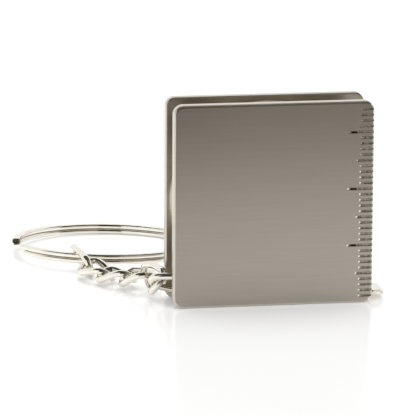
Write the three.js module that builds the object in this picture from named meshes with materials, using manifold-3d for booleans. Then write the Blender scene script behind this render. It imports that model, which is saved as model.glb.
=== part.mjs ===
// Tape measure keychain: a round spring-return tape case held between two square
// metal plates, the front one engraved as a short rule, on a curb chain with a split ring.
// Millimetres. X runs right along the plates, Y away from the viewer, Z up.
// The origin is the centre of the front plate's face, on the reel's axis.

import * as THREE from 'three';
import { mergeVertices } from 'three/addons/utils/BufferGeometryUtils.js';
import Module from 'manifold-3d';

const wasm = await Module();
wasm.setup();

// Plates
const plateWidth = 35.2;
const plateHeight = 35.7;
const plateThickness = 2.0;
const plateCornerRadius = 1.7;
const plateOuterRound = 0.5;
const plateInnerRound = 0.3;
const plateGap = 6.4;
const socketDepth = 1.2;
const socketClearance = 0.08;

// Engraved rule on the front plate's right edge
const ruleDivision = 1.0;
const ruleZeroHeight = 0.26;
const ruleTopMargin = 1.2;
const ruleShortMark = 2.6;
const ruleMediumMark = 3.2;
const ruleLongMark = 4.7;
const ruleMarkWidth = 0.33;
const ruleMarkDepth = 0.25;

// Tape case
const padThickness = 0.25;
const padRadius = 12.5;
const caseMargin = 0.5;
const caseWall = 0.3;
const caseDiscThickness = 0.35;
const noseHeight = 3.7;
const mouthHeight = 1.2;
const mouthWidth = 5.0;

// Arbor, reel and spring
const arborRadius = 2.0;
const arborStudRadius = 1.2;
const arborSlotWidth = 0.6;
const studClearance = 0.05;
const washerThickness = 0.15;
const washerClearance = 0.3;
const washerWidth = 11.0;
const runningClearance = 0.1;
const spoolWall = 0.8;
const spoolWebThickness = 0.6;
const springThickness = 0.3;
const springWidth = 3.2;
const springTurns = 7;
const springClearance = 0.35;

// Tape
const tapePackThickness = 1.35;
const tapeWidth = 4.5;
const tapeThickness = 0.15;
const tapeClearance = 0.05;
const tapeTailInset = 0.5;
const tapeEndInset = 0.3;

// End hook
const hookSheet = 0.3;
const hookProjection = 2.8;
const hookWidth = 5.8;
const hookTabLength = 2.5;
const hookStrapLength = 6.2;
const hookStrapWidth = 4.0;
const hookCornerRadius = 1.4;
const hookLipDrop = 1.1;
const rivetRadius = 0.45;
const rivetHeadRadius = 0.7;
const rivetHeadHeight = 0.2;
const rivetSpacing = 2.0;
const rivetSetback = 1.1;

// Posts between the plates
const postRadius = 0.5;
const postSideInset = 2.7;
const postHeight = 3.3;
const pillarRadius = 1.2;
const pillarInset = 2.9;

// Curb chain
const wireDiameter = 1.25;
const linkLength = 8.55;
const linkWidth = 5.7;
const linkPlay = 0.6;
const postPlay = 0.35;
const firstBendOutset = 1.83;
const bendShift = 0.3;
const ringLinkLength = 10.3;
const ringLinkWidth = 5.1;
const ringHold = 3.0;

// Split ring
const ringOuterDiameter = 34.8;
const ringWireWidth = 1.5;
const ringWireHeight = 0.7;
const ringTurnGap = 0.44;

// Cuts run past the faces that they open, and points closer than the weld are one
const overrun = 0.5;
const weld = 0.00001;

// Places derived from the sizes above
const frontPlateBack = plateThickness;
const backPlateFront = plateThickness + plateGap;
const caseFront = frontPlateBack + padThickness;
const caseBack = backPlateFront - padThickness;
const middleDepth = frontPlateBack + plateGap / 2;
const tableHeight = -plateHeight / 2;
const plateLeft = -plateWidth / 2;
const caseRadius = Math.min(plateWidth, plateHeight) / 2 - caseMargin;
const hookReach = plateWidth / 2 + hookProjection;
const coilRadius = caseRadius - caseWall - tapeThickness - 2 * tapeClearance;
const spoolRadius = coilRadius - tapePackThickness;
const reelFront = caseFront + caseDiscThickness + washerThickness + runningClearance;
const reelBack = caseBack - caseDiscThickness - washerThickness - runningClearance;
const bladeBottom = -(caseRadius - caseWall - tapeClearance);

const finishes = {
  satinNickel: { color: '#8f8a80', roughness: 0.38, metalness: 1.0 },
  brightNickel: { color: '#d9d6cf', roughness: 0.12, metalness: 1.0 },
  caseSteel: { color: '#89847c', roughness: 0.45, metalness: 1.0 },
  springSteel: { color: '#5d6166', roughness: 0.35, metalness: 1.0 },
  turnedSteel: { color: '#a9a7a2', roughness: 0.3, metalness: 1.0 },
  acetal: { color: '#e9e6dc', roughness: 0.55, metalness: 0.0 },
  enamelledTape: { color: '#e8c63a', roughness: 0.35, metalness: 0.0 },
  foamTape: { color: '#3c3c3e', roughness: 0.9, metalness: 0.0 },
  filmWasher: { color: '#cfd3d6', roughness: 0.4, metalness: 0.0 },
};

// Building tools

function closedGeometry(geometry) {
  const bare = geometry.clone();
  bare.deleteAttribute('normal');
  bare.deleteAttribute('uv');
  return mergeVertices(bare, weld);
}

function solidOf(geometry) {
  const merged = closedGeometry(geometry);
  return new wasm.Manifold(new wasm.Mesh({
    numProp: 3,
    vertProperties: Float32Array.from(merged.getAttribute('position').array),
    triVerts: Uint32Array.from(merged.index.array),
  }));
}

function geometryOf(solid) {
  const mesh = solid.getMesh();
  const geometry = new THREE.BufferGeometry();
  geometry.setAttribute('position', new THREE.BufferAttribute(mesh.vertProperties, 3));
  geometry.setIndex(new THREE.BufferAttribute(mesh.triVerts, 1));
  geometry.computeVertexNormals();
  return geometry;
}

function cut(solid, ...tools) {
  return tools.reduce((rest, tool) => rest.subtract(tool), solid);
}

function join(...solids) {
  return solids.reduce((whole, piece) => whole.add(piece));
}

// A body through a row of like outlines, closed by a flat face at each end.
function skin(outlines) {
  const count = outlines[0].length;
  const positions = outlines.flat().flatMap((point) => [point.x, point.y, point.z]);
  const faces = [];
  for (let row = 0; row + 1 < outlines.length; row += 1) {
    for (let i = 0; i < count; i += 1) {
      const next = (i + 1) % count;
      const low = row * count;
      const high = low + count;
      faces.push(low + i, low + next, high + next, low + i, high + next, high + i);
    }
  }
  const last = (outlines.length - 1) * count;
  for (let i = 1; i + 1 < count; i += 1) {
    faces.push(0, i + 1, i, last, last + i, last + i + 1);
  }
  return facedOutwards(positions, faces);
}

function facedOutwards(positions, faces) {
  const corner = (index) => new THREE.Vector3().fromArray(positions, 3 * index);
  let volume = 0;
  for (let i = 0; i < faces.length; i += 3) {
    const [a, b, c] = [corner(faces[i]), corner(faces[i + 1]), corner(faces[i + 2])];
    volume += a.dot(b.cross(c));
  }
  const index = [];
  for (let i = 0; i < faces.length; i += 3) {
    const [a, b, c] = faces.slice(i, i + 3);
    index.push(...(volume > 0 ? [a, b, c] : [a, c, b]));
  }
  const geometry = new THREE.BufferGeometry();
  geometry.setAttribute('position', new THREE.Float32BufferAttribute(positions, 3));
  geometry.setIndex(index);
  geometry.computeVertexNormals();
  return geometry;
}

function box(xRange, yRange, zRange) {
  const middle = (range) => (range[0] + range[1]) / 2;
  const span = (range) => range[1] - range[0];
  const geometry = new THREE.BoxGeometry(span(xRange), span(yRange), span(zRange));
  return geometry.translate(middle(xRange), middle(yRange), middle(zRange));
}

// A cylinder along Y between two depths.
function rod(radius, near, far, sides, x = 0, z = 0) {
  const geometry = new THREE.CylinderGeometry(radius, radius, far - near, sides);
  return geometry.translate(x, (near + far) / 2, z);
}

// A flat outline in X and Z, carried along Y between two depths.
function prism(shape, near, far) {
  const settings = { depth: far - near, bevelEnabled: false, curveSegments: 24 };
  return new THREE.ExtrudeGeometry(shape, settings).rotateX(Math.PI / 2).translate(0, far, 0);
}

// A ring about the Y axis between two radii and two depths.
function turnedRing(inner, outer, near, far, sides) {
  const profile = [[inner, near], [outer, near], [outer, far], [inner, far], [inner, near]];
  const points = profile.map(([radius, depth]) => new THREE.Vector2(radius, depth));
  return new THREE.LatheGeometry(points, sides);
}

function piece(name, geometry, finish) {
  const mesh = new THREE.Mesh(geometry, new THREE.MeshStandardMaterial(finishes[finish]));
  mesh.name = name;
  return mesh;
}

// Plates

function roundedOutline(depth, inset) {
  const radius = plateCornerRadius - inset;
  const right = plateWidth / 2 - plateCornerRadius;
  const top = plateHeight / 2 - plateCornerRadius;
  const cornerSteps = 6;
  const points = [];
  [[right, top], [-right, top], [-right, -top], [right, -top]].forEach(([x, z], quarter) => {
    for (let step = 0; step <= cornerSteps; step += 1) {
      const angle = (quarter + step / cornerSteps) * Math.PI / 2;
      points.push(new THREE.Vector3(x + radius * Math.cos(angle), depth, z + radius * Math.sin(angle)));
    }
  });
  return points;
}

// A plate with its outer face at depth 0 and its inner face at the plate's thickness.
function plateBlank() {
  const roundSteps = 3;
  const outer = [];
  const inner = [];
  for (let step = 0; step <= roundSteps; step += 1) {
    const angle = step / roundSteps * Math.PI / 2;
    const inShare = 1 - Math.sin(angle);
    const deepShare = 1 - Math.cos(angle);
    outer.push(roundedOutline(plateOuterRound * deepShare, plateOuterRound * inShare));
    inner.push(roundedOutline(plateThickness - plateInnerRound * deepShare, plateInnerRound * inShare));
  }
  return solidOf(skin([...outer, ...inner.reverse()]));
}

const postPlace = { x: plateLeft + postSideInset, z: tableHeight + postHeight };
const pillarPlaces = [-1, 1].map((side) => ({
  x: side * (plateWidth / 2 - pillarInset),
  z: plateHeight / 2 - pillarInset,
}));

function sockets() {
  const near = plateThickness - socketDepth;
  const far = plateThickness + overrun;
  const hole = (radius, place) => solidOf(rod(radius + socketClearance, near, far, 16, place.x, place.z));
  return [hole(postRadius, postPlace), ...pillarPlaces.map((place) => hole(pillarRadius, place))];
}

function ruleMark(number) {
  let length = ruleShortMark;
  if (number % 5 === 0) length = ruleMediumMark;
  if (number % 10 === 0) length = ruleLongMark;
  const right = plateWidth / 2;
  const height = tableHeight + ruleZeroHeight + number * ruleDivision;
  const halfWidth = ruleMarkWidth / 2;
  return solidOf(box([right - length, right + overrun], [-overrun, ruleMarkDepth],
    [height - halfWidth, height + halfWidth]));
}

function frontPlate() {
  const usable = plateHeight - ruleZeroHeight - ruleTopMargin;
  const markCount = Math.floor(usable / ruleDivision);
  const marks = Array.from({ length: markCount }, (unused, index) => ruleMark(index + 1));
  return piece('front_plate', geometryOf(cut(plateBlank(), ...sockets(), ...marks)), 'satinNickel');
}

// The back plate is the same blank turned to face away, so its sockets are mirrored first.
function backPlate() {
  const mirrored = sockets().map((socket) => socket.mirror([1, 0, 0]));
  const mesh = piece('back_plate', geometryOf(cut(plateBlank(), ...mirrored)), 'satinNickel');
  mesh.rotation.z = Math.PI;
  mesh.position.y = backPlateFront + plateThickness;
  return mesh;
}

// A pin whose ends sit in the sockets of both plates.
function socketPin(name, radius, place) {
  const near = plateThickness - socketDepth + socketClearance;
  const far = backPlateFront + socketDepth - socketClearance;
  const mesh = piece(name, rod(radius, near, far, 16), 'turnedSteel');
  mesh.position.set(place.x, 0, place.z);
  return mesh;
}


// Tape case

// A round drum with a square nose at the lower right, as wide as the drum, drawn in by an inset.
function caseOutline(inset) {
  const radius = caseRadius - inset;
  const noseTop = noseHeight - caseRadius - inset;
  const shape = new THREE.Shape();
  shape.moveTo(radius, -radius);
  shape.lineTo(radius, noseTop);
  shape.absarc(0, 0, radius, Math.asin(noseTop / radius), 1.5 * Math.PI, false);
  return shape;
}

function caseBody() {
  const near = caseFront + caseDiscThickness;
  const shell = solidOf(prism(caseOutline(0), near, caseBack));
  const hollow = solidOf(prism(caseOutline(caseWall), near - overrun, caseBack - caseDiscThickness));
  const floor = -(caseRadius - caseWall);
  const mouth = solidOf(box([caseRadius - caseWall - overrun, caseRadius + overrun],
    [middleDepth - mouthWidth / 2, middleDepth + mouthWidth / 2], [floor, floor + mouthHeight]));
  const studHole = solidOf(rod(arborStudRadius + studClearance, near, caseBack + overrun, 24));
  return piece('case_body', geometryOf(cut(shell, hollow, mouth, studHole)), 'caseSteel');
}

function caseCover() {
  const far = caseFront + caseDiscThickness;
  const disc = solidOf(prism(caseOutline(0), caseFront, far));
  const studHole = solidOf(rod(arborStudRadius + studClearance, caseFront - overrun, far + overrun, 24));
  return piece('case_cover', geometryOf(cut(disc, studHole)), 'caseSteel');
}

function adhesivePad(name, near) {
  const inner = arborStudRadius + studClearance;
  return piece(name, closedGeometry(turnedRing(inner, padRadius, near, near + padThickness, 40)), 'foamTape');
}

// Arbor, reel and spring

function arbor() {
  const near = caseFront + caseDiscThickness;
  const far = caseBack - caseDiscThickness;
  const post = solidOf(rod(arborRadius, near, far, 24));
  const stud = solidOf(rod(arborStudRadius, caseFront, caseBack, 24));
  const slot = solidOf(box([0, arborRadius + overrun],
    [middleDepth - springWidth / 2 - runningClearance, middleDepth + springWidth / 2 + runningClearance],
    [-arborSlotWidth / 2, arborSlotWidth / 2]));
  return piece('arbor', geometryOf(cut(join(post, stud), slot)), 'turnedSteel');
}

function washer(name, near) {
  const inner = arborRadius + washerClearance;
  const geometry = turnedRing(inner, inner + washerWidth, near, near + washerThickness, 40);
  return piece(name, closedGeometry(geometry), 'filmWasher');
}

function reelSpool() {
  const bore = arborRadius + runningClearance;
  const inner = spoolRadius - spoolWall;
  const webFront = reelBack - spoolWebThickness;
  const profile = [
    [bore, webFront], [inner, webFront], [inner, reelFront], [spoolRadius, reelFront],
    [spoolRadius, reelBack], [bore, reelBack], [bore, webFront],
  ].map(([radius, depth]) => new THREE.Vector2(radius, depth));
  return piece('reel_spool', closedGeometry(new THREE.LatheGeometry(profile, 48)), 'acetal');
}

// A flat band wound from the arbor out to the spool, evenly spaced.
function powerSpring() {
  const stepsPerTurn = 24;
  const innerRadius = arborRadius + springClearance;
  const outerRadius = spoolRadius - spoolWall - springClearance - springThickness;
  const pitch = (outerRadius - innerRadius) / springTurns;
  const near = middleDepth - springWidth / 2;
  const far = middleDepth + springWidth / 2;
  const rows = [];
  for (let step = 0; step <= springTurns * stepsPerTurn; step += 1) {
    const turn = step / stepsPerTurn;
    const radius = innerRadius + pitch * turn;
    const [cos, sin] = [Math.cos(2 * Math.PI * turn), Math.sin(2 * Math.PI * turn)];
    const corners = [[radius, near], [radius + springThickness, near],
      [radius + springThickness, far], [radius, far]];
    rows.push(corners.map(([r, y]) => new THREE.Vector3(r * cos, y, r * sin)));
  }
  console.log(`spring: least gap between turns ${(pitch - springThickness).toFixed(2)} mm`);
  return piece('power_spring', skin(rows), 'springSteel');
}

// Tape and hook

function tapeCoil() {
  const inner = spoolRadius + tapeClearance;
  const ring = turnedRing(inner, coilRadius, middleDepth - tapeWidth / 2, middleDepth + tapeWidth / 2, 48);
  return piece('tape_coil', closedGeometry(ring), 'enamelledTape');
}

function tapeBlade() {
  const geometry = box([tapeTailInset, hookReach - hookSheet - tapeEndInset],
    [middleDepth - tapeWidth / 2, middleDepth + tapeWidth / 2], [bladeBottom, bladeBottom + tapeThickness]);
  const holes = rivetDepths().map((depth) => solidOf(rivetShank(depth, tapeClearance)));
  return piece('tape_blade', geometryOf(cut(solidOf(geometry), ...holes)), 'enamelledTape');
}

const rivetX = hookReach - hookTabLength - hookStrapLength + hookSheet + rivetSetback;

function rivetDepths() {
  return [middleDepth - rivetSpacing / 2, middleDepth + rivetSpacing / 2];
}

// A short upright cylinder through the blade and the hook's strap.
function rivetShank(depth, clearance) {
  const bottom = bladeBottom;
  const top = bladeBottom + tapeThickness + tapeClearance + hookSheet;
  const geometry = new THREE.CylinderGeometry(rivetRadius + clearance, rivetRadius + clearance,
    top - bottom + 2 * clearance, 12);
  return geometry.rotateX(Math.PI / 2).translate(rivetX, depth, (top + bottom) / 2);
}

function hookRivet(name, depth) {
  const headBottom = bladeBottom + tapeThickness + tapeClearance + hookSheet;
  const head = new THREE.CylinderGeometry(rivetHeadRadius, rivetHeadRadius, rivetHeadHeight, 12);
  head.rotateX(Math.PI / 2).translate(rivetX, depth, headBottom + rivetHeadHeight / 2);
  return piece(name, geometryOf(join(solidOf(rivetShank(depth, 0)), solidOf(head))), 'turnedSteel');
}

function endHook() {
  const bottom = bladeBottom + tapeThickness + tapeClearance;
  const tabLeft = hookReach - hookTabLength;
  const half = hookWidth / 2;
  const round = hookCornerRadius;
  const tab = new THREE.Shape();
  tab.moveTo(tabLeft, -half);
  tab.lineTo(hookReach - round, -half);
  tab.absarc(hookReach - round, round - half, round, -Math.PI / 2, 0, false);
  tab.absarc(hookReach - round, half - round, round, 0, Math.PI / 2, false);
  tab.lineTo(tabLeft, half);
  const settings = { depth: hookSheet, bevelEnabled: false, curveSegments: 4 };
  const plate = new THREE.ExtrudeGeometry(tab, settings).translate(0, middleDepth, bottom);
  const strap = box([tabLeft - hookStrapLength + hookSheet, tabLeft + hookSheet],
    [middleDepth - hookStrapWidth / 2, middleDepth + hookStrapWidth / 2], [bottom, bottom + hookSheet]);
  const lipHalf = half - round;
  const lip = box([hookReach - hookSheet, hookReach], [middleDepth - lipHalf, middleDepth + lipHalf],
    [bottom - hookLipDrop + hookSheet, bottom + hookSheet]);
  const holes = rivetDepths().map((depth) => solidOf(rivetShank(depth, tapeClearance)));
  const hook = cut(join(solidOf(plate), solidOf(strap), solidOf(lip)), ...holes);
  return piece('end_hook', geometryOf(hook), 'brightNickel');
}

// Curb chain

// A wire oval lying along X whose ends are turned opposite ways about X.
class TwistedOval extends THREE.Curve {
  constructor(length, width, twist) {
    super();
    this.halfLength = (length - wireDiameter) / 2;
    this.halfWidth = (width - wireDiameter) / 2;
    this.twist = twist;
  }

  getPoint(share, target = new THREE.Vector3()) {
    const angle = 2 * Math.PI * share;
    const straight = this.halfLength - this.halfWidth;
    const along = straight * Math.sign(Math.cos(angle)) * Math.min(1, 2 * Math.abs(Math.cos(angle)))
      + this.halfWidth * Math.cos(angle);
    const across = this.halfWidth * Math.sin(angle);
    const turn = -this.twist * along / this.halfLength;
    return target.set(along, across * Math.cos(turn), across * Math.sin(turn));
  }
}

function linkGeometry(length, width, twist) {
  const oval = new TwistedOval(length, width, THREE.MathUtils.degToRad(twist));
  return closedGeometry(new THREE.TubeGeometry(oval, 30, wireDiameter / 2, 8, true));
}

// How each link lies, in degrees: its heading from straight left towards the back, its climb,
// its roll about its length, and the twist of each of its ends.
const linkTurns = [
  { heading: 16, climb: 3.4, roll: -42.5, twist: 6 },
  { heading: 80, climb: -1.3, roll: 81, twist: 28 },
  { heading: 61, climb: -12.6, roll: 13, twist: 26 },
  { heading: 53.6, climb: -5, roll: -3, twist: 33 },
  { heading: 62.5, climb: 5, roll: 0, twist: 35 },
  { heading: 83, climb: 3.5, roll: -66, twist: 4 },
];
const linkCount = linkTurns.length;
const bearingReach = (wireDiameter + linkPlay) / 2;
const postReach = postRadius + postPlay + wireDiameter / 2;

// The first link reaches from the post to a bend just outside the plates.
const firstDirection = linkDirection(0);
const firstLinkLength = (postSideInset + firstBendOutset) / -firstDirection.x
  + postReach + bearingReach + wireDiameter;
const linkLengths = linkTurns.map((turns, index) => {
  if (index === 0) return firstLinkLength;
  return index === linkCount - 1 ? ringLinkLength : linkLength;
});

function linkDirection(index) {
  const heading = THREE.MathUtils.degToRad(linkTurns[index].heading);
  const climb = THREE.MathUtils.degToRad(linkTurns[index].climb);
  return new THREE.Vector3(-Math.cos(heading) * Math.cos(climb), Math.sin(heading) * Math.cos(climb),
    Math.sin(climb));
}

// Turns the oval's +X to the end nearer the plates, level across, then rolls it about its length.
function linkRotation(index) {
  const back = linkDirection(index).negate();
  const across = new THREE.Vector3(0, 0, 1).cross(back).normalize();
  const upright = back.clone().cross(across);
  const level = new THREE.Matrix4().makeBasis(back, across, upright);
  const roll = new THREE.Matrix4().makeRotationX(THREE.MathUtils.degToRad(linkTurns[index].roll));
  return new THREE.Quaternion().setFromRotationMatrix(level.multiply(roll));
}

// Walks from the post along the chain: each link starts at the bearing where the last one ends.
function chainLayout() {
  const bearing = new THREE.Vector3(postPlace.x, middleDepth, postPlace.z);
  return linkTurns.map((turns, index) => {
    const nearReach = index === 0 ? postReach : bearingReach;
    const wireLength = linkLengths[index] - wireDiameter;
    const direction = linkDirection(index);
    if (index > 0) {
      const change = direction.clone().sub(linkDirection(index - 1));
      bearing.addScaledVector(change, bendShift);
    }
    const start = bearing.clone();
    const centre = start.clone().addScaledVector(direction, wireLength / 2 - nearReach);
    bearing.addScaledVector(direction, wireLength - nearReach - bearingReach);
    console.log(`link ${index + 1}: bearing at ${start.toArray().map((value) => value.toFixed(2))}`);
    return { start, centre, direction };
  });
}

const layout = chainLayout();

function chainLinks() {
  return layout.map(({ centre }, index) => {
    const width = index === linkCount - 1 ? ringLinkWidth : linkWidth;
    const geometry = linkGeometry(linkLengths[index], width, linkTurns[index].twist);
    const mesh = piece(`chain_link_${index + 1}`, geometry, 'brightNickel');
    mesh.position.copy(centre);
    mesh.quaternion.copy(linkRotation(index));
    return mesh;
  });
}

// Split ring

// The ring link holds the wire at this bearing from the ring's centre.
const ringBearing = THREE.MathUtils.degToRad(244.5);
const ringStepAngle = THREE.MathUtils.degToRad(200);
const ringRamp = THREE.MathUtils.degToRad(24);
const ringStack = 2 * ringWireHeight + ringTurnGap;
const ringRadius = (ringOuterDiameter - ringWireWidth) / 2;

// A wound wire of nearly two turns: one low, a short climb, then one high.
function ringTurns() {
  const steps = 112;
  const sweep = 4 * Math.PI - ringRamp;
  const climbStart = 2 * Math.PI - ringRamp;
  const corner = ringWireHeight / 4;
  const section = roundedSection(ringWireWidth / 2, ringWireHeight / 2, corner);
  const rows = [];
  for (let step = 0; step <= steps; step += 1) {
    const angle = sweep * step / steps;
    const climb = THREE.MathUtils.smoothstep(angle, climbStart, climbStart + ringRamp);
    const height = (climb - 0.5) * (ringWireHeight + ringTurnGap);
    const [cos, sin] = [Math.cos(angle + ringStepAngle), Math.sin(angle + ringStepAngle)];
    rows.push(section.map(([out, up]) => new THREE.Vector3(
      (ringRadius + out) * cos, (ringRadius + out) * sin, height + up)));
  }
  console.log(`split ring: least gap between turns ${leastTurnGap(rows).toFixed(2)} mm`);
  return skin(rows);
}

function roundedSection(halfWidth, halfHeight, corner) {
  return [
    [halfWidth, -halfHeight + corner], [halfWidth, halfHeight - corner],
    [halfWidth - corner, halfHeight], [corner - halfWidth, halfHeight],
    [-halfWidth, halfHeight - corner], [-halfWidth, corner - halfHeight],
    [corner - halfWidth, -halfHeight], [halfWidth - corner, -halfHeight],
  ];
}

// The least distance between points of the band that are more than half a turn apart along it.
function leastTurnGap(rows) {
  const apart = rows.length / 4;
  let least = Infinity;
  rows.forEach((row, index) => {
    rows.slice(index + Math.ceil(apart)).forEach((other) => {
      row.forEach((a) => other.forEach((b) => {
        least = Math.min(least, a.distanceTo(b));
      }));
    });
  });
  return least;
}

// The ring's far side lies on the table and the ring link lifts its near side.
function splitRing() {
  const last = layout[linkCount - 1];
  const wireLength = ringLinkLength - wireDiameter;
  const hold = last.start.clone().addScaledVector(last.direction, wireLength - bearingReach - ringHold);
  const tilt = Math.asin((hold.z - tableHeight - ringStack / 2) / (2 * ringRadius));
  const lowSide = (ringStack * Math.cos(tilt) + ringWireWidth * Math.sin(tilt)) / 2;
  const outward = new THREE.Vector3(Math.cos(ringBearing), Math.sin(ringBearing), 0);
  const mesh = piece('split_ring', ringTurns(), 'brightNickel');
  mesh.position.copy(hold).addScaledVector(outward, -ringRadius);
  mesh.position.z = tableHeight + lowSide + ringRadius * Math.sin(tilt);
  mesh.setRotationFromAxisAngle(new THREE.Vector3(outward.y, -outward.x, 0), tilt);
  const middle = mesh.position.toArray().map((value) => value.toFixed(2));
  console.log(`split ring: centre at ${middle}, held at ${hold.toArray().map((value) => value.toFixed(2))}`);
  return mesh;
}

// Assembly

const keychain = new THREE.Group();
keychain.add(
  frontPlate(),
  backPlate(),
  socketPin('left_pillar', pillarRadius, pillarPlaces[0]),
  socketPin('right_pillar', pillarRadius, pillarPlaces[1]),
  socketPin('chain_post', postRadius, postPlace),
  adhesivePad('front_adhesive_pad', frontPlateBack),
  adhesivePad('back_adhesive_pad', caseBack),
  caseCover(),
  caseBody(),
  arbor(),
  washer('front_washer', caseFront + caseDiscThickness),
  washer('back_washer', caseBack - caseDiscThickness - washerThickness),
  reelSpool(),
  tapeCoil(),
  powerSpring(),
  tapeBlade(),
  endHook(),
  hookRivet('front_rivet', rivetDepths()[0]),
  hookRivet('back_rivet', rivetDepths()[1]),
  ...chainLinks(),
  splitRing(),
);

export default keychain;
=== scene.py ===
# %% [markdown]
# # A tape measure keychain
#
# Two square metal plates hold a round spring-return tape case between them. The front
# plate carries an engraved rule, a curb chain leaves the gap at the lower left, and a
# split ring hangs on the chain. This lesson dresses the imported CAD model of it. The
# model gives every piece its place, so nothing here is moved: a piece either keeps its
# CAD shape and gets a finish, or is built again more finely in the same place.

import math

import bmesh
import bpy
from mathutils import Matrix, Vector


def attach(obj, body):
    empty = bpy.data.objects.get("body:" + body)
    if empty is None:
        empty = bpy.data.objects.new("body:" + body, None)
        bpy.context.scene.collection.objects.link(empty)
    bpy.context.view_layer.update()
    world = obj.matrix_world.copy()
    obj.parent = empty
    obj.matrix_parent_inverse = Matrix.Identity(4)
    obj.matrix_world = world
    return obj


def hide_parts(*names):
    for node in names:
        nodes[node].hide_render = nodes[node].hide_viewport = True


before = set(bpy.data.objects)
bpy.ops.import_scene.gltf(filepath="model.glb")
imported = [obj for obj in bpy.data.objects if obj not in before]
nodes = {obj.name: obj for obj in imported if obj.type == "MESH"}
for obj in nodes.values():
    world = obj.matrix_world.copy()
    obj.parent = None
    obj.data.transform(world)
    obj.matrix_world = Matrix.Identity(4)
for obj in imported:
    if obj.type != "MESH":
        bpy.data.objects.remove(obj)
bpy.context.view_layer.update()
MM = 0.001


def add_object(name, data):
    """A new object in the scene."""
    added = bpy.data.objects.new(name, data)
    bpy.context.scene.collection.objects.link(added)
    return added


# %% [markdown]
# ## Camera
#
# The photograph was taken with a long lens, which keeps the plates' edges nearly
# parallel, from a little above and to the left. The camera looks at a point near the
# middle of the front plate: it is turned by a yaw, a pitch and a small roll, and drawn
# back by 700 mm.

# %% Set the camera at the photograph's angle
CAMERA_YAW = math.radians(10.5578)
CAMERA_PITCH = math.radians(11.9407)
CAMERA_ROLL = math.radians(0.3667)
CAMERA_DISTANCE = 700.0
CAMERA_TARGET = Vector((-11.6311, 0.0, -0.1283))
SENSOR_WIDTH = 36.0
LENS = 351.8

turned = (Matrix.Rotation(-CAMERA_YAW, 4, "Z")
          @ Matrix.Rotation(math.pi / 2 - CAMERA_PITCH, 4, "X")
          @ Matrix.Rotation(CAMERA_ROLL, 4, "Z"))
drawn_back = Matrix.Translation((0, 0, CAMERA_DISTANCE * MM))
camera_data = bpy.data.cameras.new("photo_camera")
camera_data.sensor_width = SENSOR_WIDTH
camera_data.lens = LENS
camera = add_object("photo_camera", camera_data)
camera.matrix_world = Matrix.Translation(CAMERA_TARGET * MM) @ turned @ drawn_back
bpy.context.scene.camera = camera
print("camera at", [round(value, 3) for value in camera.matrix_world.translation])

# %% [markdown]
# ## Colours and nodes
#
# Colours are sRGB hex values, as a picture editor shows them. One function turns them to
# the linear values that Blender mixes. Another small one adds a shader node with its
# settings and links.

# %% Two helpers for nodes
def linear(hex_colour):
    """Linear RGBA from an sRGB hex value."""
    values = [int(hex_colour[i:i + 2], 16) / 255 for i in (1, 3, 5)]
    return tuple(value / 12.92 if value <= 0.04045 else ((value + 0.055) / 1.055) ** 2.4
                 for value in values) + (1.0,)


def add_node(tree, kind, settings=None, links=None):
    """Adds a node, sets its properties, and links or sets its inputs."""
    node = tree.nodes.new(kind)
    for name, value in (settings or {}).items():
        setattr(node, name, value)
    for name, value in (links or {}).items():
        if isinstance(value, bpy.types.NodeSocket):
            tree.links.new(value, node.inputs[name])
        else:
            node.inputs[name].default_value = value
    return node


print("linear mid grey:", round(linear("#808080")[0], 3))

# %% [markdown]
# ## How a material is made
#
# Every surface here varies in the same few ways, so a material is a list of patterns: a
# noise, or cells or rings where it says so. Each gives the size of its spots along X, Y
# and Z in millimetres, and what it drives: colour, roughness or relief. Most values of
# a noise lie between 0.3 and 0.7, and that range is spread over the two ends.

# %% A material from its patterns
NOISE_LOW = 0.3
NOISE_HIGH = 0.7
USUAL_DETAIL = 2.0


def make_material(name, patterns, values):
    """A material from patterns, and from values for sockets of its shader."""
    material = bpy.data.materials.new(name)
    material.use_nodes = True
    tree = material.node_tree
    shader = tree.nodes["Principled BSDF"]
    for socket, value in values.items():
        shader.inputs[socket].default_value = value
    place = add_node(tree, "ShaderNodeTexCoord")
    millimetres = add_node(tree, "ShaderNodeVectorMath",
                           {"operation": "SCALE", "name": "millimetres"},
                           {0: place.outputs["Object"], "Scale": 1 / MM})
    for pattern in patterns:
        scaled = add_node(tree, "ShaderNodeVectorMath", {"operation": "DIVIDE"},
                          {0: millimetres.outputs[0], 1: pattern["size"]})
        if "rings" in pattern:
            split = add_node(tree, "ShaderNodeSeparateXYZ", None, {0: scaled.outputs[0]})
            factor = add_node(tree, "ShaderNodeMath", {"operation": "SINE"},
                              {0: split.outputs["Y"]}).outputs[0]
        elif "cells" in pattern:
            factor = add_node(tree, "ShaderNodeTexVoronoi", None,
                              {"Vector": scaled.outputs[0], "Scale": 1.0}).outputs["Distance"]
        else:
            factor = add_node(tree, "ShaderNodeTexNoise", {"noise_dimensions": "3D"},
                              {"Vector": scaled.outputs[0], "Scale": 1.0,
                               "Detail": pattern.get("detail", USUAL_DETAIL)}).outputs["Fac"]
        if "colours" in pattern:
            ramp = add_node(tree, "ShaderNodeValToRGB", None, {"Fac": factor})
            for stop, position, colour in zip(ramp.color_ramp.elements, (NOISE_LOW, NOISE_HIGH),
                                              pattern["colours"]):
                stop.position = position
                stop.color = linear(colour)
            tree.links.new(ramp.outputs["Color"], shader.inputs["Base Color"])
        if "roughness" in pattern:
            low, high = pattern["roughness"]
            spread = add_node(tree, "ShaderNodeMapRange", None,
                              {"Value": factor, "From Min": NOISE_LOW, "From Max": NOISE_HIGH,
                               "To Min": low, "To Max": high})
            tree.links.new(spread.outputs["Result"], shader.inputs["Roughness"])
        if "relief" in pattern:
            bump = add_node(tree, "ShaderNodeBump", None,
                            {"Height": factor, "Distance": pattern["relief"] * MM, "Strength": 1.0})
            tree.links.new(bump.outputs["Normal"], shader.inputs["Normal"])
    return material


METAL = {"Metallic": 1.0}
print("a noise is spread from", NOISE_LOW, "to", NOISE_HIGH)

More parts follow.
